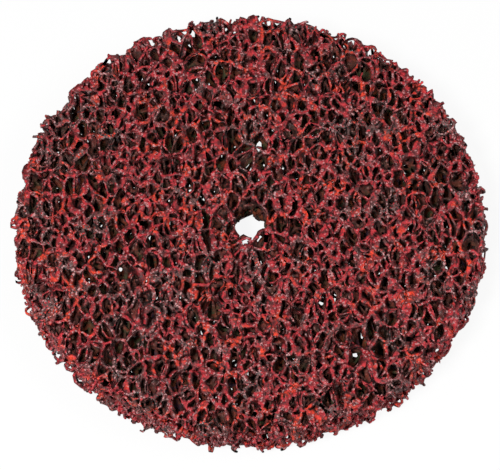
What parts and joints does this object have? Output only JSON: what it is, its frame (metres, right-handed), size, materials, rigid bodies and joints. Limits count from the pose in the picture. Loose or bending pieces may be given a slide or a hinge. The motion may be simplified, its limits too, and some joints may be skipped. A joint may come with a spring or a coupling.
{
  "type": "abrasive cleaning disc",
  "caption": "Open-web stripping and cleaning disc: a round pad of coarse resin-bonded strands with a plain arbor hole through its middle.",
  "frame": {"origin": "centre of the arbor hole on the plane of the underside, the face that the disc lies on", "axes": "+Z along the arbor, out of the upper face; +X and +Y lie in the underside"},
  "size_m": [0.15, 0.15, 0.013],
  "materials": {
    "abrasive_web": "Crimson resin over coarse crimped strands, grain-speckled and slightly glossy on the crests, dark maroon inside the web"
  },
  "bodies": {
    "root": {"web_disc": "abrasive_web"}
  },
  "joints": []
}
